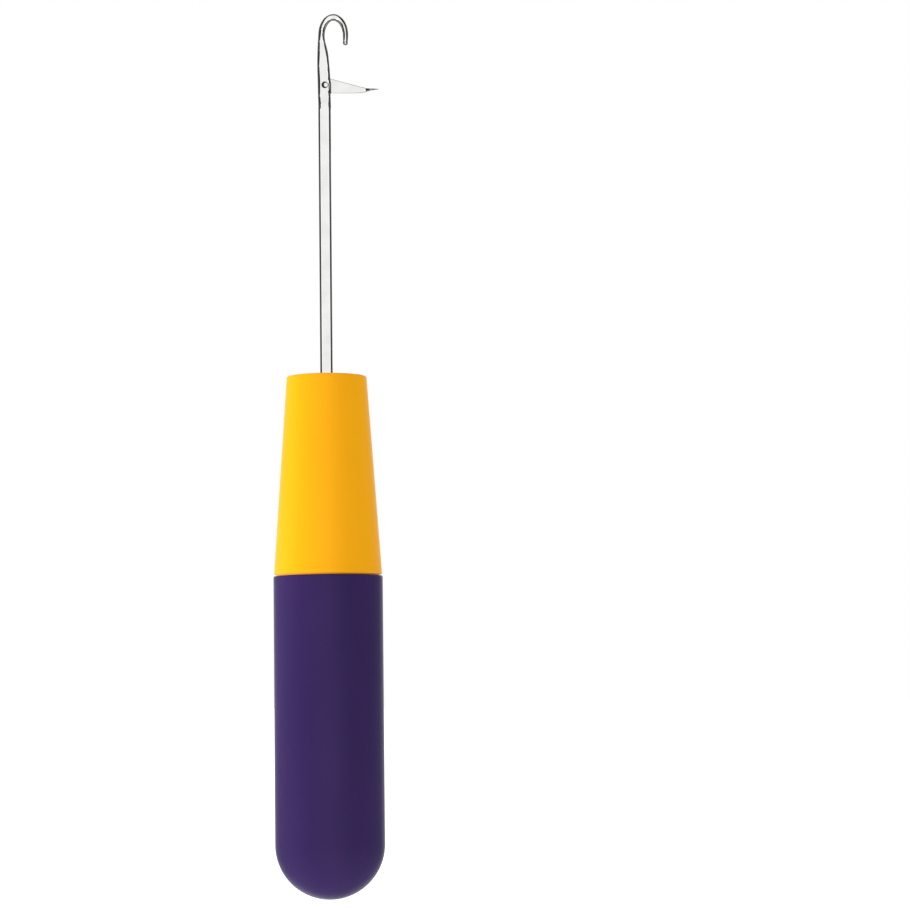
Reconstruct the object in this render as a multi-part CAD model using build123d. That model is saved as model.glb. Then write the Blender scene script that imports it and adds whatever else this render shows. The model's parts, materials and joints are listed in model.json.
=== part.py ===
"""Latch hook hand tool: a bright steel latch needle fixed in a two-piece plastic handle.

Frame: millimetres, +Z up along the handle's axis towards the hook, origin at the lowest point of
the domed end. The hook opens towards +X and lies in the XZ plane, so the latch turns about Y.
Each function makes one piece of the tool where it sits in the assembly, with the latch standing open.
"""

from build123d import *
import os
from math import cos, pi, sin

# Handle, two shells of revolution about Z
GRIP_RADIUS = 10.0
GRIP_TOP = 58.75
GRIP_WALL = 1.6
OVERLAP = 1.0
RIM_ROUND = 0.3
NOSE_BASE_RADIUS = 9.9
NOSE_TIP_RADIUS = 7.35
NOSE_BOTTOM = 58.98
NOSE_TOP = 95.4
SHOULDER_RADIUS = 9.3
NOSE_BASE_ROUND = 0.2
NOSE_TIP_ROUND = 0.3

# Joint between the shells: a spigot on the nose, held in the barrel by a snap bead and two keys
SPIGOT_LENGTH = 11.0
SPIGOT_GAP = 0.05
BEAD_DROP = 6.0
BEAD_RADIUS = 0.45
BEAD_DEPTH = 0.3
KEY_WIDTH = 2.0
KEY_HEIGHT = 0.6
KEY_LENGTH = 3.0
KEY_GAP = 0.08

# Inside of the nose: a drafted cavity, and a ribbed boss that holds the needle's tang
CAVITY_MOUTH_RADIUS = 6.8
CAVITY_END_RADIUS = 5.3
NOSE_FRONT_WALL = 2.6
BOSS_RADIUS = 3.2
BOSS_BOTTOM = 61.0
RIB_THICKNESS = 1.1
RIB_BOTTOM = 66.0
RIB_COUNT = 4

# Needle stem, a rounded flat bar
STEM_WIDTH = 2.28
STEM_THICKNESS = 1.5
STEM_ROUND = 0.45
TANG_BOTTOM = 64.0
TANG_NOTCH = 0.35
TANG_NOTCH_PITCH = 5.0
TANG_NOTCH_COUNT = 5
TANG_FIRST_NOTCH = 3.0

# Level sections of the head: height above the pivot, back x, front x, thickness
HEAD_BELOW_PIVOT = 4.5
CHEEK_SECTIONS = (
    (-HEAD_BELOW_PIVOT, -STEM_WIDTH / 2, STEM_WIDTH / 2, STEM_THICKNESS),
    (-2.5, -1.15, STEM_WIDTH / 2, STEM_THICKNESS),
    (-0.5, -1.19, 1.13, STEM_THICKNESS),
    (2.0, -1.24, 1.07, 1.47),
    (5.0, -1.26, 0.86, 1.36),
    (7.2, -1.19, 0.5, 1.23),
    (8.7, -1.09, 0.16, 1.15),
)

# Latch pivot and the slot that the latch swings in
PIVOT_X = 0.32
PIVOT_Z = 149.7
PIN_RADIUS = 0.46
PIN_PROUD = 0.06
PIN_END_ROUND = 0.14
PIVOT_CLEARANCE = 0.03
STAKE_RADIUS = 0.64
STAKE_DEPTH = 0.22
STAKE_OFFSET = 0.2
LAND_FRONT_X = 1.28
LAND_END_X = 0.98
LAND_BELOW_PIVOT = 1.5
LAND_FLAT_ABOVE_PIVOT = 0.2
LAND_ABOVE_PIVOT = 2.4
LAND_INSET = 0.05
SLOT_WIDTH = 0.58
SLOT_FLOOR_X = -0.88
SLOT_FLOOR_BELOW_PIVOT = 9.6
SLOT_FLOOR_ABOVE_PIVOT = 0.9
SLOT_END_RADIUS = 3.0

# Hook: half an ellipse for the bend of the wire, then a short straight run down to the tip
BEND_X = 1.77
BEND_Z = 159.1
BEND_HALF_WIDTH = 2.24
BEND_HEIGHT = 3.4
BEND_STATIONS = 8
LEG_STATIONS = 2
LEG_LEAN = -0.03
WIRE_CORNER = 0.46
WIRE_ROOT = 1.18
WIRE_CROWN = 1.3
WIRE_LEG = 0.96
WIRE_TIP = 0.86
WIRE_FLATNESS = 0.94
TIP_RADIUS = 0.46
TIP_X = 3.96
TIP_CENTRE_Z = 157.65

# Latch, at rest pointing along +X, its outline given from the pivot
LATCH_THICKNESS = 0.5
LATCH_ROOT_RADIUS = 1.05
LATCH_HEEL = -0.3
LATCH_HEEL_HALF = 1.0
LATCH_SHOULDER = (0.5, 1.36)
LATCH_TOP_END = (6.9, -0.47)
LATCH_TOE = (1.35, -1.5)
LATCH_BELLY = (6.2, -1.55)
LATCH_REACH = 9.82
SPOON_TOP_MID = (8.3, -0.63)
SPOON_BELLY_MID = (8.2, -1.19)
SPOON_TIP_TOP = -0.79
SPOON_TIP_BOTTOM = -0.87
SPOON_TOP_SLOPE = -0.1
SPOON_BELLY_SLOPE = 0.15
SPOON_WIDTH = 1.5
SPOON_LENGTH = 2.6
SPOON_FLARE = 1.1
SPOON_NOSE = 0.05
GROOVE_RADIUS = 0.52
GROOVE_DEPTH = 0.24
GROOVE_FLOOR_DATUM = -0.64
GROOVE_SLOPE = 4.5


def cylinder_between(radius, low, high):
    """A cylinder about Z from height low to height high."""
    return Pos(0, 0, (low + high) / 2) * Cylinder(radius, high - low)


def bead_ring(radius, grown=0.0):
    """The ring that snaps the shells together, standing BEAD_DEPTH proud of the given radius."""
    ring = Torus(radius + BEAD_DEPTH - BEAD_RADIUS, BEAD_RADIUS + grown)
    return Pos(0, 0, GRIP_TOP - BEAD_DROP) * ring


def spigot_keys(grown=0.0):
    """Two keys on opposite sides of the spigot's root, which stop the nose from turning."""
    spigot_radius = GRIP_RADIUS - GRIP_WALL - SPIGOT_GAP
    reach = 2 * (spigot_radius + KEY_HEIGHT + grown)
    length = KEY_LENGTH + grown
    bar = Box(reach, KEY_WIDTH + 2 * grown, length)
    return Pos(0, 0, GRIP_TOP - length / 2) * bar


def grip_barrel():
    """Hollow barrel with a hemispherical end, open towards the nose."""
    bore_radius = GRIP_RADIUS - GRIP_WALL
    outer = Pos(0, 0, GRIP_RADIUS) * Sphere(GRIP_RADIUS)
    outer += cylinder_between(GRIP_RADIUS, GRIP_RADIUS, GRIP_TOP)
    outer = fillet(outer.edges().sort_by(Axis.Z)[-1], RIM_ROUND)
    inner = Pos(0, 0, GRIP_RADIUS) * Sphere(bore_radius)
    inner += cylinder_between(bore_radius, GRIP_RADIUS, GRIP_TOP)
    return outer - inner - bead_ring(bore_radius - SPIGOT_GAP, SPIGOT_GAP) - spigot_keys(KEY_GAP)


def nose_shell():
    """Outer body of the nose with its spigot, bored out by the drafted cavity."""
    spigot_radius = GRIP_RADIUS - GRIP_WALL - SPIGOT_GAP
    spigot_bottom = GRIP_TOP - SPIGOT_LENGTH
    cavity_top = NOSE_TOP - NOSE_FRONT_WALL
    height = NOSE_TOP - NOSE_BOTTOM
    body = Pos(0, 0, NOSE_BOTTOM + height / 2) * Cone(NOSE_BASE_RADIUS, NOSE_TIP_RADIUS, height)
    rims = body.edges().filter_by(GeomType.CIRCLE).sort_by(Axis.Z)
    body = fillet(rims[-1], NOSE_TIP_ROUND)
    body = fillet(body.edges().filter_by(GeomType.CIRCLE).sort_by(Axis.Z)[0], NOSE_BASE_ROUND)
    body += cylinder_between(SHOULDER_RADIUS, GRIP_TOP, NOSE_BOTTOM + OVERLAP)
    body += cylinder_between(spigot_radius, spigot_bottom, NOSE_BOTTOM)
    keys = spigot_keys() & cylinder_between(spigot_radius + KEY_HEIGHT, spigot_bottom, GRIP_TOP)
    body += keys
    body += bead_ring(spigot_radius)
    depth = cavity_top - spigot_bottom
    cavity = Cone(CAVITY_MOUTH_RADIUS, CAVITY_END_RADIUS, depth)
    return body - Pos(0, 0, spigot_bottom + depth / 2) * cavity


def nose_boss():
    """Boss and ribs inside the nose, trimmed to the cavity that they stand in."""
    cavity_top = NOSE_TOP - NOSE_FRONT_WALL
    boss = cylinder_between(BOSS_RADIUS, BOSS_BOTTOM, cavity_top + OVERLAP)
    rib_reach = NOSE_TIP_RADIUS - OVERLAP
    rib_height = cavity_top + OVERLAP - RIB_BOTTOM
    for turn in range(RIB_COUNT):
        rib = Pos(rib_reach / 2, 0, RIB_BOTTOM + rib_height / 2) * Box(rib_reach, RIB_THICKNESS, rib_height)
        boss += Rot(0, 0, 45 + turn * 360 / RIB_COUNT) * rib
    return boss


def nose_cone():
    """Tapered front half of the handle, moulded in one piece with its boss, ribs and spigot."""
    socket = Pos(0, 0, TANG_BOTTOM) * extrude(stem_section(), NOSE_TOP - TANG_BOTTOM)
    return nose_shell() + nose_boss() - socket


def stem_section():
    """Cross-section of the stem, on the XY plane."""
    return RectangleRounded(STEM_WIDTH, STEM_THICKNESS, STEM_ROUND)


def bar_section(back, front, z, thickness):
    """Level cross-section of the needle's head, from x = back to x = front."""
    corner = min(STEM_ROUND, WIRE_CORNER * thickness)
    return Pos((back + front) / 2, 0, z) * RectangleRounded(front - back, thickness, corner)


def wire_section(x, z, heading, width):
    """Cross-section of the hook's wire, square to its heading (dx, dz)."""
    dx, dz = heading
    thickness = WIRE_FLATNESS * width
    plane = Plane(origin=(x, 0, z), x_dir=(dz, 0, -dx), z_dir=(dx, 0, dz))
    return plane * RectangleRounded(width, thickness, WIRE_CORNER * thickness)


def head_sections():
    """Sections of the needle from the foot of the cheeks to the hook's tip, in order."""
    sections = [bar_section(back, front, PIVOT_Z + rise, depth) for rise, back, front, depth in CHEEK_SECTIONS]
    for station in range(BEND_STATIONS + 1):
        share = station / BEND_STATIONS
        angle = pi * (1 - share)
        x = BEND_X + BEND_HALF_WIDTH * cos(angle)
        z = BEND_Z + BEND_HEIGHT * sin(angle)
        heading = (BEND_HALF_WIDTH * sin(angle), -BEND_HEIGHT * cos(angle))
        root_share = max(0.0, 1 - 2 * share)
        tip_share = max(0.0, 2 * share - 1)
        width = WIRE_CROWN + root_share * (WIRE_ROOT - WIRE_CROWN) + tip_share * (WIRE_LEG - WIRE_CROWN)
        sections.append(wire_section(x, z, heading, width))
    for step in range(1, LEG_STATIONS + 1):
        share = step / LEG_STATIONS
        x = BEND_X + BEND_HALF_WIDTH + share * (TIP_X - BEND_X - BEND_HALF_WIDTH)
        z = BEND_Z + share * (TIP_CENTRE_Z - BEND_Z)
        width = WIRE_LEG + share * (WIRE_TIP - WIRE_LEG)
        sections.append(wire_section(x, z, (LEG_LEAN, -1), width))
    return sections


def cheek_lugs():
    """Land on the front of the cheeks, stepped at its lower end and run out at its upper end."""
    thickness = STEM_THICKNESS - 2 * LAND_INSET
    land = [
        bar_section(0, LAND_FRONT_X, PIVOT_Z - LAND_BELOW_PIVOT, thickness),
        bar_section(0, LAND_FRONT_X, PIVOT_Z + LAND_FLAT_ABOVE_PIVOT, thickness),
        bar_section(0, LAND_END_X, PIVOT_Z + LAND_ABOVE_PIVOT, thickness),
    ]
    return loft(land, ruled=True)


def latch_slot():
    """Slot that the latch swings in, its floor run out to the front in an arc at each end."""
    radius = SLOT_END_RADIUS
    low = PIVOT_Z - SLOT_FLOOR_BELOW_PIVOT
    high = PIVOT_Z + SLOT_FLOOR_ABOVE_PIVOT
    blade = Box(2 * radius, SLOT_WIDTH, high - low)
    slot = Pos(SLOT_FLOOR_X + radius, 0, (low + high) / 2) * blade
    for z in (low, high):
        slot += Pos(SLOT_FLOOR_X + radius, 0, z) * Rot(90, 0, 0) * Cylinder(radius, SLOT_WIDTH)
    return slot


def staked_pockets():
    """Round pockets left by the punch that stakes the rivet, a little off its axis, one in each cheek."""
    half = STEM_THICKNESS / 2
    pocket = Rot(90, 0, 0) * Cylinder(STAKE_RADIUS, 2 * STAKE_DEPTH)
    place = Pos(PIVOT_X - STAKE_OFFSET, 0, PIVOT_Z)
    return place * (Pos(0, half, 0) * pocket + Pos(0, -half, 0) * pocket)


def pivot_pin(radius, length):
    """A plain cylinder on the latch's axis."""
    return Pos(PIVOT_X, 0, PIVOT_Z) * Rot(90, 0, 0) * Cylinder(radius, length)


def hook_needle():
    """One piece of steel: tang, stem, slotted cheeks and hook."""
    low = PIVOT_Z - HEAD_BELOW_PIVOT
    needle = Pos(0, 0, TANG_BOTTOM) * extrude(stem_section(), low - TANG_BOTTOM)
    needle += loft(head_sections())
    needle += Pos(TIP_X, 0, TIP_CENTRE_Z) * Sphere(TIP_RADIUS)
    needle += cheek_lugs()
    needle -= latch_slot()
    needle -= pivot_pin(PIN_RADIUS, 2 * STEM_THICKNESS)
    needle -= staked_pockets()
    for step in range(TANG_NOTCH_COUNT):
        z = TANG_BOTTOM + TANG_FIRST_NOTCH + step * TANG_NOTCH_PITCH
        for side in (1, -1):
            notch = Pos(side * STEM_WIDTH / 2, 0, z) * Rot(0, 45, 0)
            needle -= notch * Box(TANG_NOTCH, STEM_THICKNESS + OVERLAP, TANG_NOTCH)
    return needle


def latch_rivet():
    """Rivet that the latch turns on, through both cheeks, with rounded ends a little proud of them."""
    rivet = pivot_pin(PIN_RADIUS, STEM_THICKNESS + 2 * PIN_PROUD)
    return fillet(rivet.edges().filter_by(GeomType.CIRCLE), PIN_END_ROUND)


def latch_side():
    """Side outline of the latch, extruded across it: round root, deep blade, tapering spoon."""
    tip_top = (LATCH_REACH, SPOON_TIP_TOP)
    tip_bottom = (LATCH_REACH, SPOON_TIP_BOTTOM)
    top_slope = (LATCH_TOP_END[0] - LATCH_SHOULDER[0], LATCH_TOP_END[1] - LATCH_SHOULDER[1])
    outline = Line(LATCH_SHOULDER, LATCH_TOP_END)
    outline += Spline(LATCH_TOP_END, SPOON_TOP_MID, tip_top, tangents=(top_slope, (1, SPOON_TOP_SLOPE)))
    outline += Line(tip_top, tip_bottom)
    outline += Spline(tip_bottom, SPOON_BELLY_MID, LATCH_BELLY, tangents=((-1, -SPOON_BELLY_SLOPE), (-1, 0)))
    outline += Line(LATCH_BELLY, LATCH_TOE)
    heel = ((LATCH_HEEL, -LATCH_HEEL_HALF), (LATCH_HEEL, LATCH_HEEL_HALF))
    outline += Polyline(LATCH_TOE, *heel, LATCH_SHOULDER)
    blade = extrude(Plane.XZ * make_face(outline), SPOON_WIDTH, both=True)
    return blade + Rot(90, 0, 0) * Cylinder(LATCH_ROOT_RADIUS, 2 * SPOON_WIDTH)


def latch_plan():
    """Plan outline of the latch: a thin strip that flares into an oval spoon, extruded along Z."""
    thin = LATCH_THICKNESS / 2
    wide = SPOON_WIDTH / 2
    flare_start = LATCH_REACH - SPOON_LENGTH
    flare_end = flare_start + SPOON_FLARE
    back = -2 * LATCH_ROOT_RADIUS
    edge = Line((back, thin), (flare_start, thin))
    edge += Spline((flare_start, thin), (flare_end, wide), tangents=((1, 0), (1, 0)))
    edge += Spline((flare_end, wide), (LATCH_REACH + SPOON_NOSE, 0), tangents=((1, 0), (0, -1)))
    outline = edge + mirror(edge, Plane.XZ) + Line((back, thin), (back, -thin))
    return extrude(make_face(outline), 2 * LATCH_ROOT_RADIUS, both=True)


def latch():
    """Steel tongue that swings on the rivet and closes its grooved spoon over the hook's tip."""
    tongue = latch_side() & latch_plan()
    groove_height = GROOVE_FLOOR_DATUM - GROOVE_DEPTH + GROOVE_RADIUS
    groove = Rot(0, 90 + GROOVE_SLOPE, 0) * Cylinder(GROOVE_RADIUS, 2 * SPOON_LENGTH)
    tongue -= Pos(LATCH_REACH, 0, groove_height) * groove
    tongue -= Rot(90, 0, 0) * Cylinder(PIN_RADIUS + PIVOT_CLEARANCE, SPOON_WIDTH)
    return Pos(PIVOT_X, 0, PIVOT_Z) * tongue


def main():
    os.makedirs("parts", exist_ok=True)
    for make in (grip_barrel, nose_cone, hook_needle, latch, latch_rivet):
        export_step(make(), f"parts/{make.__name__}.step")


main()
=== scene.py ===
"""A latch hook in a plain white studio: looks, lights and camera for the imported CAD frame."""

import json
from math import cos, degrees, pi, radians, sin

import bmesh
import bpy
from mathutils import Matrix, Vector


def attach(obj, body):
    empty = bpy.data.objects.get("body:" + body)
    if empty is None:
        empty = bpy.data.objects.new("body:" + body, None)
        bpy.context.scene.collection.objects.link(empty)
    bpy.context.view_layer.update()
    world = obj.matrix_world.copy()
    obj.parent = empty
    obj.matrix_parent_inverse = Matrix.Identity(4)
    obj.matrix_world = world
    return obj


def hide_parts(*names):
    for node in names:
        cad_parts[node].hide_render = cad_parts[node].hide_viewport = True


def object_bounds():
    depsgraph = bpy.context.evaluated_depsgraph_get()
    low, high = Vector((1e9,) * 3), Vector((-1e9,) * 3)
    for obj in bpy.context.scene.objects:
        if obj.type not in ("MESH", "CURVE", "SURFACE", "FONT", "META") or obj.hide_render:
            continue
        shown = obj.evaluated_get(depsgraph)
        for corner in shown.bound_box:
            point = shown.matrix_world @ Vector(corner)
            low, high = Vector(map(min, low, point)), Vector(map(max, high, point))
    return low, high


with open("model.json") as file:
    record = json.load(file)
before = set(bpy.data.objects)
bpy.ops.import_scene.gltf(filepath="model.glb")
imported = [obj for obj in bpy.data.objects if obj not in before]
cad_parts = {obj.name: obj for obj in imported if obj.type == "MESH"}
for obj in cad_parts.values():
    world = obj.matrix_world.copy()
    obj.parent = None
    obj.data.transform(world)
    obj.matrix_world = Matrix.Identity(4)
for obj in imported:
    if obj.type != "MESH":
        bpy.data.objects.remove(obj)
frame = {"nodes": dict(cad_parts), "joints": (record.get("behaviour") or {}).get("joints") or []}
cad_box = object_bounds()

# Camera, in metres and degrees, with its lens and sensor in millimetres.
# It stands in front of the tool, at -Y and a little towards +X, and looks slightly up.
CAMERA_DISTANCE = 0.531
CAMERA_SIDE = 0.02347
CAMERA_HEIGHT = 0.0393
CAMERA_PITCH = 4.4576
CAMERA_ROLL = 0.641
CAMERA_LENS = 114.73
SENSOR_WIDTH = 36.0
CAMERA_CLIP_START = 0.01

# Floor, in metres, and how strongly it shines
FLOOR_GAP = 0.0002
FLOOR_HALF_SIZE = 4.0
FLOOR_GLOW = 1.4

# Light from the surroundings, as levels and angles in degrees: upright panels in front, behind
# and at both sides, a dim cap overhead, a dim band below the horizon, and little in between.
# A softness is how far an edge takes to fade.
PANEL_RISE = 42.0
PANEL_DIP = 35.0
RISE_SOFTNESS = 6.0
FRONT_HALF_ANGLE = 26.0
FRONT_CENTRE_LEVEL = 0.95
FRONT_EDGE_LEVEL = 1.22
FRONT_SHADING = (5.0, 20.0)
BACK_HALF_ANGLE = 24.0
BACK_LEVEL = 0.9
PANEL_SOFTNESS = 3.0
SIDE_HALF_ANGLE = 8.0
SIDE_LEVEL = 0.2
SIDE_SOFTNESS = 5.0
CAP_START = 47.0
CAP_FULL = 55.0
CAP_LEVEL = 0.13
LOW_START = -7.0
LOW_FULL = -14.0
LOW_LEVEL = 0.17
DARK_LEVEL = 0.018
PAST_THE_END = 1.0

# Lamps, in metres and watts: name, place, target, width, height and power
LAMPS = (
    ("key", (-0.48, -0.2, 0.03), (0, 0, 0.04), 0.25, 0.16, 2.2),
    ("right_rim", (0.3, 0.3, 0.03), (0, 0, 0.04), 0.2, 0.16, 0.5),
    ("left_rim", (-0.4, 0.16, 0.03), (0, 0, 0.04), 0.2, 0.16, 1.3),
    ("fill", (0, 0.05, 0.7), (0, 0, 0.08), 0.5, 0.5, 3.0),
)

# Colours, linear
YELLOW = (0.94, 0.42, 0.006, 1.0)
YELLOW_DEEP = (0.9, 0.39, 0.005, 1.0)
PURPLE = (0.0365, 0.0185, 0.095, 1.0)
PURPLE_DEEP = (0.0305, 0.015, 0.083, 1.0)
NICKEL = (0.93, 0.93, 0.92, 1.0)
NICKEL_DULL = (0.84, 0.84, 0.83, 1.0)
# Painted shade: the dark colour painted in the pocket beside the rivet
POCKET_SHADE = (0.025, 0.023, 0.02, 1.0)

# Painted shade: a dark colour painted in the punched pocket beside the rivet, where shade falls, in
# metres: full inside one radius, gone at the next
POCKET_OFFSET = 0.0002
POCKET_SHADE_INNER = 0.0006
POCKET_SHADE_OUTER = 0.00066

# Plastic: texture scales per metre, low and high roughness, bumps as strength and height in metres
FLOW_STRETCH = (1.0, 1.0, 0.35)
MOTTLE_SCALE = 90.0
GRAIN_SCALE = 5200.0
WAVINESS_SCALE = 160.0
PLASTIC_ROUGHNESS = (0.42, 0.52)
WAVINESS_BUMP = (0.12, 0.0002)
GRAIN_BUMP = (0.18, 0.00002)
PLASTIC_IOR = 1.5
PLASTIC_SPECULAR = 0.08
PLASTIC_SHEEN = 0.25
PLASTIC_SHEEN_ROUGHNESS = 0.3

# Steel: texture scales per metre, the bump as above, and roughness with its spread to either side
DRAW_STRETCH = (1.0, 1.0, 0.03)
DRAW_LINE_SCALE = 5200.0
PATCH_SCALE = 420.0
DRAW_LINE_BUMP = (0.02, 0.000002)
ROUGHNESS_SPREAD = (0.85, 1.2)
NEEDLE_ROUGHNESS = 0.055
LATCH_ROUGHNESS = 0.08
RIVET_ROUGHNESS = 0.16

# Textures: no stretch, and the part of a noise's range that its values mostly fill
EVEN = (1.0, 1.0, 1.0)
NOISE_LOW = 0.3
NOISE_HIGH = 0.7

# Latch, in metres from its pivot: x, low z, high z, width, and the section's squareness, 2 for an oval
LATCH_SECTIONS = (
    (0.00055, -0.00124, 0.00132, 0.0005, 6.0),
    (0.00062, -0.00127, 0.0013, 0.0005, 6.0),
    (0.00128, -0.00147, 0.00112, 0.0005, 6.0),
    (0.00142, -0.0015, 0.00108, 0.0005, 6.0),
    (0.0034, -0.00152, 0.00051, 0.0005, 6.0),
    (0.0052, -0.00154, 0.00001, 0.0005, 5.0),
    (0.0064, -0.0015, -0.00033, 0.0005, 4.5),
    (0.0069, -0.00142, -0.00046, 0.0005, 4.0),
    (0.0072, -0.00136, -0.00052, 0.00051, 3.2),
    (0.0075, -0.0013, -0.00056, 0.00066, 2.6),
    (0.00777, -0.00124, -0.00058, 0.001, 2.3),
    (0.00805, -0.00119, -0.0006, 0.00132, 2.1),
    (0.00832, -0.00114, -0.00062, 0.00149, 2.0),
    (0.0087, -0.00108, -0.00065, 0.00132, 2.0),
    (0.0092, -0.00098, -0.0007, 0.0009, 2.0),
    (0.0096, -0.00091, -0.00075, 0.0005, 2.0),
    (0.00981, -0.00086, -0.00079, 0.0002, 2.0),
)
LATCH_RING_POINTS = 28
CUP_CENTRE = 0.0083
CUP_HALF_LENGTH = 0.0009
CUP_DEPTH = 0.0002
CUP_WIDTH_SHARE = 0.8
EYE_RADIUS = 0.00104
EYE_HOLE = 0.00049
EYE_THICKNESS = 0.00044
EYE_POINTS = 48
ROUNDING_LEVELS = 2

pivot = frame["joints"][0]["pos_m"]


def new_material(name):
    """A node material, with its nodes, its links and its Principled shader."""
    material = bpy.data.materials.new(name)
    material.use_nodes = True
    nodes, links = material.node_tree.nodes, material.node_tree.links
    return material, nodes, links, nodes["Principled BSDF"]


def object_coordinates(nodes, links, scale):
    """Object coordinates stretched by scale, per axis."""
    coordinates = nodes.new("ShaderNodeTexCoord")
    mapping = nodes.new("ShaderNodeMapping")
    mapping.inputs["Scale"].default_value = scale
    links.new(coordinates.outputs["Object"], mapping.inputs["Vector"])
    return mapping.outputs["Vector"]


def noise(nodes, links, vector, scale, detail=3.0, roughness=0.5):
    """A noise texture's factor."""
    texture = nodes.new("ShaderNodeTexNoise")
    texture.inputs["Scale"].default_value = scale
    texture.inputs["Detail"].default_value = detail
    texture.inputs["Roughness"].default_value = roughness
    links.new(vector, texture.inputs["Vector"])
    return texture.outputs["Fac"]


def ramp(nodes, links, factor, low_colour, high_colour):
    """One colour where a noise's factor is low, blending into another where it is high."""
    node = nodes.new("ShaderNodeValToRGB")
    stops = ((NOISE_LOW, low_colour), (NOISE_HIGH, high_colour))
    for element, (position, colour) in zip(node.color_ramp.elements, stops):
        element.position = position
        element.color = colour
    links.new(factor, node.inputs["Fac"])
    return node.outputs["Color"]


def value_range(nodes, links, factor, low, high, start=NOISE_LOW, end=NOISE_HIGH):
    """Maps a factor from start..end to low..high."""
    node = nodes.new("ShaderNodeMapRange")
    node.inputs["From Min"].default_value = start
    node.inputs["From Max"].default_value = end
    node.inputs["To Min"].default_value = low
    node.inputs["To Max"].default_value = high
    links.new(factor, node.inputs["Value"])
    return node.outputs["Result"]


def bump(nodes, links, height, strength_and_distance, normal=None):
    """A bump node on top of an earlier normal."""
    node = nodes.new("ShaderNodeBump")
    strength, distance = strength_and_distance
    node.inputs["Strength"].default_value = strength
    node.inputs["Distance"].default_value = distance
    links.new(height, node.inputs["Height"])
    if normal:
        links.new(normal, node.inputs["Normal"])
    return node.outputs["Normal"]


def plastic(name, colour, deep_colour):
    """Moulded styrene: slow flow mottling, a fine mould texture and a satin surface with a faint haze."""
    material, nodes, links, shader = new_material(name)
    slow = object_coordinates(nodes, links, FLOW_STRETCH)
    fine = object_coordinates(nodes, links, EVEN)
    mottle = noise(nodes, links, slow, MOTTLE_SCALE, 2.0)
    links.new(ramp(nodes, links, mottle, deep_colour, colour), shader.inputs["Base Color"])
    grain = noise(nodes, links, fine, GRAIN_SCALE, 3.0, 0.6)
    links.new(value_range(nodes, links, grain, *PLASTIC_ROUGHNESS), shader.inputs["Roughness"])
    waviness = noise(nodes, links, slow, WAVINESS_SCALE, 1.0)
    normal = bump(nodes, links, waviness, WAVINESS_BUMP)
    links.new(bump(nodes, links, grain, GRAIN_BUMP, normal), shader.inputs["Normal"])
    shader.inputs["IOR"].default_value = PLASTIC_IOR
    shader.inputs["Specular IOR Level"].default_value = PLASTIC_SPECULAR
    shader.inputs["Sheen Weight"].default_value = PLASTIC_SHEEN
    shader.inputs["Sheen Roughness"].default_value = PLASTIC_SHEEN_ROUGHNESS
    return material


def pocket_painted_shade(nodes, links):
    """Painted shade: one inside the punched pocket beside the rivet, falling to nothing just past its
    edge.
    """
    coordinates = nodes.new("ShaderNodeTexCoord")
    flatten = nodes.new("ShaderNodeVectorMath")
    flatten.operation = "MULTIPLY"
    flatten.inputs[1].default_value = (1.0, 0.0, 1.0)
    links.new(coordinates.outputs["Object"], flatten.inputs[0])
    apart = nodes.new("ShaderNodeVectorMath")
    apart.operation = "DISTANCE"
    apart.inputs[1].default_value = (pivot[0] - POCKET_OFFSET, 0.0, pivot[2])
    links.new(flatten.outputs["Vector"], apart.inputs[0])
    return value_range(nodes, links, apart.outputs["Value"], 1.0, 0.0, POCKET_SHADE_INNER, POCKET_SHADE_OUTER)


def steel(name, roughness, painted_pocket_shade=False):
    """Bright plated steel, with draw lines along the tool and faint handling marks, and optionally
    painted shade in the pocket beside the rivet.
    """
    material, nodes, links, shader = new_material(name)
    along = object_coordinates(nodes, links, DRAW_STRETCH)
    even = object_coordinates(nodes, links, EVEN)
    lines = noise(nodes, links, along, DRAW_LINE_SCALE, 3.0, 0.6)
    patches = noise(nodes, links, even, PATCH_SCALE, 3.0)
    tint = ramp(nodes, links, patches, NICKEL_DULL, NICKEL)
    # Painted shade: the pocket beside the rivet darkened where shade falls
    if painted_pocket_shade:
        blend = nodes.new("ShaderNodeMixRGB")
        links.new(pocket_painted_shade(nodes, links), blend.inputs["Fac"])
        links.new(tint, blend.inputs["Color1"])
        blend.inputs["Color2"].default_value = POCKET_SHADE
        tint = blend.outputs["Color"]
    links.new(tint, shader.inputs["Base Color"])
    smoother, rougher = (roughness * share for share in ROUGHNESS_SPREAD)
    links.new(value_range(nodes, links, lines, smoother, rougher), shader.inputs["Roughness"])
    links.new(bump(nodes, links, lines, DRAW_LINE_BUMP), shader.inputs["Normal"])
    shader.inputs["Metallic"].default_value = 1.0
    return material


def dress(node, material):
    """Gives a CAD node its material."""
    piece = frame["nodes"][node]
    if not piece.material_slots:
        piece.data.materials.append(material)
    for slot in piece.material_slots:
        slot.material = material


def drawn_out(value, squareness):
    """A cosine or sine drawn out towards the corners of a box, keeping its sign."""
    return abs(value) ** (2 / squareness) * (1 if value > 0 else -1)


def latch_ring(mesh, section):
    """One ring of points round the latch, hollowed on top where the spoon is cupped."""
    x, low, high, width, squareness = section
    along = min(1.0, abs(x - CUP_CENTRE) / CUP_HALF_LENGTH)
    ring = []
    for step in range(LATCH_RING_POINTS):
        angle = 2 * pi * (step + 0.5) / LATCH_RING_POINTS
        across = drawn_out(cos(angle), squareness)
        z = (low + high) / 2 + (high - low) / 2 * drawn_out(sin(angle), squareness)
        if sin(angle) > 0:
            z -= CUP_DEPTH * (1 - along ** 2) * max(0.0, 1 - (across / CUP_WIDTH_SHARE) ** 2)
        ring.append(mesh.verts.new((x, width / 2 * across, z)))
    return ring


def bridge(mesh, first, second):
    """A band of faces between two closed loops of points."""
    for step in range(len(first)):
        after = (step + 1) % len(first)
        mesh.faces.new((first[step], first[after], second[after], second[step]))


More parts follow.
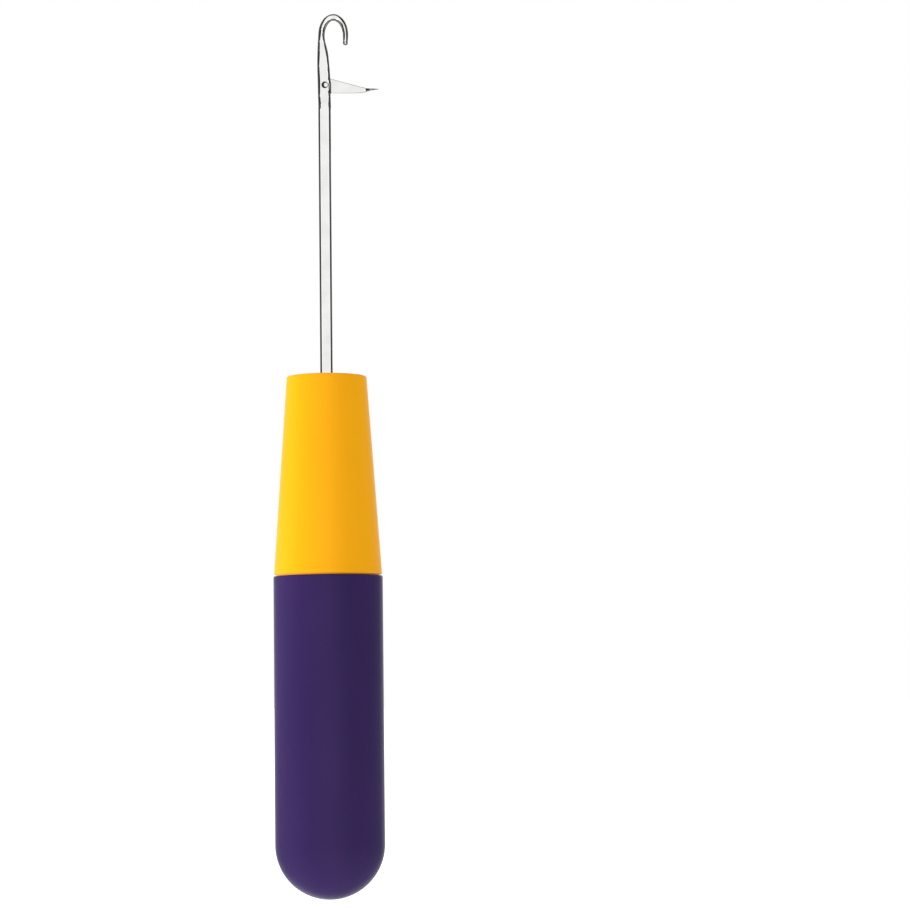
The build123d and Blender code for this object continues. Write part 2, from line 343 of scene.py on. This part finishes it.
def close_ring(mesh, ring):
    """Closes a ring with a ladder of faces, each rung joining the points that mirror each other."""
    quarter = len(ring) // 4
    half = len(ring) // 2
    rungs = [(ring[step], ring[half - 1 - step]) for step in range(-quarter, quarter)]
    for (first_right, first_left), (next_right, next_left) in zip(rungs, rungs[1:]):
        mesh.faces.new((first_right, next_right, next_left, first_left))


def latch_blade():
    """The latch's blade and spoon."""
    mesh = bmesh.new()
    rings = [latch_ring(mesh, section) for section in LATCH_SECTIONS]
    for first, second in zip(rings, rings[1:]):
        bridge(mesh, first, second)
    close_ring(mesh, rings[0])
    close_ring(mesh, rings[-1])
    return mesh


def latch_eye():
    """The flat ring round the rivet at the latch's root."""
    mesh = bmesh.new()
    half = EYE_THICKNESS / 2
    turns = [2 * pi * step / EYE_POINTS for step in range(EYE_POINTS)]
    corners = ((EYE_RADIUS, -half), (EYE_RADIUS, half), (EYE_HOLE, half), (EYE_HOLE, -half))
    loops = []
    for radius, side in corners:
        points = [(radius * cos(turn), side, radius * sin(turn)) for turn in turns]
        loops.append([mesh.verts.new(point) for point in points])
    for first, second in zip(loops, loops[1:] + loops[:1]):
        bridge(mesh, first, second)
    return mesh


def rounded_object(name, mesh):
    """An object from a mesh drawn about the latch's pivot, moved into place and subdivided."""
    bmesh.ops.recalc_face_normals(mesh, faces=mesh.faces)
    bmesh.ops.translate(mesh, vec=Vector((pivot[0], 0, pivot[2])), verts=mesh.verts)
    for face in mesh.faces:
        face.smooth = True
    data = bpy.data.meshes.new(name)
    mesh.to_mesh(data)
    mesh.free()
    piece = bpy.data.objects.new(name, data)
    bpy.context.scene.collection.objects.link(piece)
    rounding = piece.modifiers.new("rounding", "SUBSURF")
    rounding.levels = ROUNDING_LEVELS
    rounding.render_levels = ROUNDING_LEVELS
    return piece


def add_latch(material):
    """The latch with softened edges and a boat-shaped, cupped spoon, in place of its CAD solid."""
    tongue = rounded_object("latch_tongue", latch_blade())
    eye = rounded_object("latch_eye", latch_eye())
    union = tongue.modifiers.new("union", "BOOLEAN")
    union.operation = "UNION"
    union.solver = "EXACT"
    union.object = eye
    graph = bpy.context.evaluated_depsgraph_get()
    whole = bpy.data.meshes.new_from_object(tongue.evaluated_get(graph))
    tongue.modifiers.clear()
    tongue.data = whole
    bpy.data.objects.remove(eye)
    whole.materials.clear()
    whole.materials.append(material)
    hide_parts("latch")
    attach(tongue, "latch")


def glow_material(name, strength):
    """A surface that shines an even white and reflects nothing, like a light table."""
    material, _, _, shader = new_material(name)
    shader.inputs["Base Color"].default_value = (0.0, 0.0, 0.0, 1.0)
    shader.inputs["Roughness"].default_value = 1.0
    shader.inputs["Specular IOR Level"].default_value = 0.0
    shader.inputs["Emission Color"].default_value = (1.0, 1.0, 1.0, 1.0)
    shader.inputs["Emission Strength"].default_value = strength
    return material


def add_floor():
    """The plain floor that the tool stands on, hidden from reflections."""
    size = FLOOR_HALF_SIZE
    corners = [(-size, -size, 0), (size, -size, 0), (size, size, 0), (-size, size, 0)]
    mesh = bpy.data.meshes.new("floor")
    mesh.from_pydata(corners, [], [(0, 1, 2, 3)])
    floor = bpy.data.objects.new("floor", mesh)
    floor.location.z = cad_box[0][2] - FLOOR_GAP
    mesh.materials.append(glow_material("floor_white", FLOOR_GLOW))
    floor.visible_glossy = False
    bpy.context.scene.collection.objects.link(floor)


def add_lamp(name, place, target, width, height, power):
    """A rectangular soft light aimed at a point and hidden from reflections."""
    light = bpy.data.lights.new(name, "AREA")
    light.shape = "RECTANGLE"
    light.size = width
    light.size_y = height
    light.energy = power
    lamp = bpy.data.objects.new(name, light)
    lamp.location = place
    aim = Vector(target) - Vector(place)
    lamp.rotation_euler = aim.to_track_quat("-Z", "Y").to_euler()
    lamp.visible_glossy = False
    bpy.context.scene.collection.objects.link(lamp)


def sky_math(nodes, links, operation, first, second=None):
    """One math node on sockets or numbers."""
    node = nodes.new("ShaderNodeMath")
    node.operation = operation
    for place, value in ((0, first), (1, second)):
        if value is None:
            continue
        if isinstance(value, (int, float)):
            node.inputs[place].default_value = value
        else:
            links.new(value, node.inputs[place])
    return node.outputs["Value"]


def sky_band(nodes, links, angle, low, high, soft):
    """One where an angle lies between low and high, fading over soft degrees beyond them."""
    up = value_range(nodes, links, angle, 0.0, 1.0, low - soft, low)
    down = value_range(nodes, links, angle, 1.0, 0.0, high, high + soft)
    return sky_math(nodes, links, "MULTIPLY", up, down)


def sky_angles(nodes, links):
    """A direction's turn away from the front, -Y, and its rise over the horizon, in degrees."""
    coordinates = nodes.new("ShaderNodeTexCoord")
    split = nodes.new("ShaderNodeSeparateXYZ")
    links.new(coordinates.outputs["Generated"], split.inputs["Vector"])
    ahead = sky_math(nodes, links, "MULTIPLY", split.outputs["Y"], -1.0)
    azimuth = sky_math(nodes, links, "ARCTAN2", split.outputs["X"], ahead)
    turn = sky_math(nodes, links, "ABSOLUTE", azimuth)
    rise = sky_math(nodes, links, "ARCSINE", split.outputs["Z"])
    return [sky_math(nodes, links, "MULTIPLY", angle, degrees(1)) for angle in (turn, rise)]


def sky_panels(nodes, links, turn, rise):
    """The upright panels: the front one brighter towards its edges, the others even."""
    front = sky_band(nodes, links, turn, -PAST_THE_END, FRONT_HALF_ANGLE, PANEL_SOFTNESS)
    shading = value_range(nodes, links, turn, FRONT_CENTRE_LEVEL, FRONT_EDGE_LEVEL, *FRONT_SHADING)
    panels = sky_math(nodes, links, "MULTIPLY", front, shading)
    back = sky_band(nodes, links, turn, 180 - BACK_HALF_ANGLE, 180 + PAST_THE_END, PANEL_SOFTNESS)
    side = sky_band(nodes, links, turn, 90 - SIDE_HALF_ANGLE, 90 + SIDE_HALF_ANGLE, SIDE_SOFTNESS)
    for band, level in ((back, BACK_LEVEL), (side, SIDE_LEVEL)):
        panel = sky_math(nodes, links, "MULTIPLY", band, level)
        panels = sky_math(nodes, links, "ADD", panels, panel)
    reach = sky_band(nodes, links, rise, -PANEL_DIP, PANEL_RISE, RISE_SOFTNESS)
    return sky_math(nodes, links, "MULTIPLY", panels, reach)


def sky_glow(nodes, links):
    """The light from each direction: the panels, a little between them, the cap and the low band."""
    turn, rise = sky_angles(nodes, links)
    glow = sky_math(nodes, links, "ADD", sky_panels(nodes, links, turn, rise), DARK_LEVEL)
    cap = value_range(nodes, links, rise, 0.0, CAP_LEVEL, CAP_START, CAP_FULL)
    low = value_range(nodes, links, rise, LOW_LEVEL, 0.0, LOW_FULL, LOW_START)
    for part in (cap, low):
        glow = sky_math(nodes, links, "ADD", glow, part)
    return glow


def add_sky():
    """Surroundings that look plain white but light the tool with the panels and bands."""
    world = bpy.data.worlds.new("studio")
    world.use_nodes = True
    nodes, links = world.node_tree.nodes, world.node_tree.links
    nodes.clear()
    seen = nodes.new("ShaderNodeBackground")
    lit = nodes.new("ShaderNodeBackground")
    for background in (seen, lit):
        background.inputs["Color"].default_value = (1.0, 1.0, 1.0, 1.0)
    links.new(sky_glow(nodes, links), lit.inputs["Strength"])
    path = nodes.new("ShaderNodeLightPath")
    mix = nodes.new("ShaderNodeMixShader")
    links.new(path.outputs["Is Camera Ray"], mix.inputs["Fac"])
    links.new(lit.outputs["Background"], mix.inputs[1])
    links.new(seen.outputs["Background"], mix.inputs[2])
    output = nodes.new("ShaderNodeOutputWorld")
    links.new(mix.outputs["Shader"], output.inputs["Surface"])
    bpy.context.scene.world = world


def add_camera():
    """The camera, in front of the tool."""
    data = bpy.data.cameras.new("camera")
    data.lens = CAMERA_LENS
    data.sensor_width = SENSOR_WIDTH
    data.clip_start = CAMERA_CLIP_START
    camera = bpy.data.objects.new("camera", data)
    place = Matrix.Translation((CAMERA_SIDE, -CAMERA_DISTANCE, CAMERA_HEIGHT))
    pitch = Matrix.Rotation(radians(90 + CAMERA_PITCH), 4, "X")
    roll = Matrix.Rotation(radians(-CAMERA_ROLL), 4, "Z")
    camera.matrix_world = place @ (pitch @ roll)
    bpy.context.scene.collection.objects.link(camera)
    bpy.context.scene.camera = camera


dress("nose_cone", plastic("yellow_plastic", YELLOW, YELLOW_DEEP))
dress("grip_barrel", plastic("purple_plastic", PURPLE, PURPLE_DEEP))
# The needle carries painted shade in the pocket beside the rivet
dress("hook_needle", steel("bright_nickel", NEEDLE_ROUGHNESS, painted_pocket_shade=True))
add_latch(steel("latch_nickel", LATCH_ROUGHNESS))
dress("latch_rivet", steel("rivet_nickel", RIVET_ROUGHNESS))
add_floor()
add_sky()
for lamp_values in LAMPS:
    add_lamp(*lamp_values)
add_camera()
bpy.context.scene.view_settings.view_transform = "Standard"
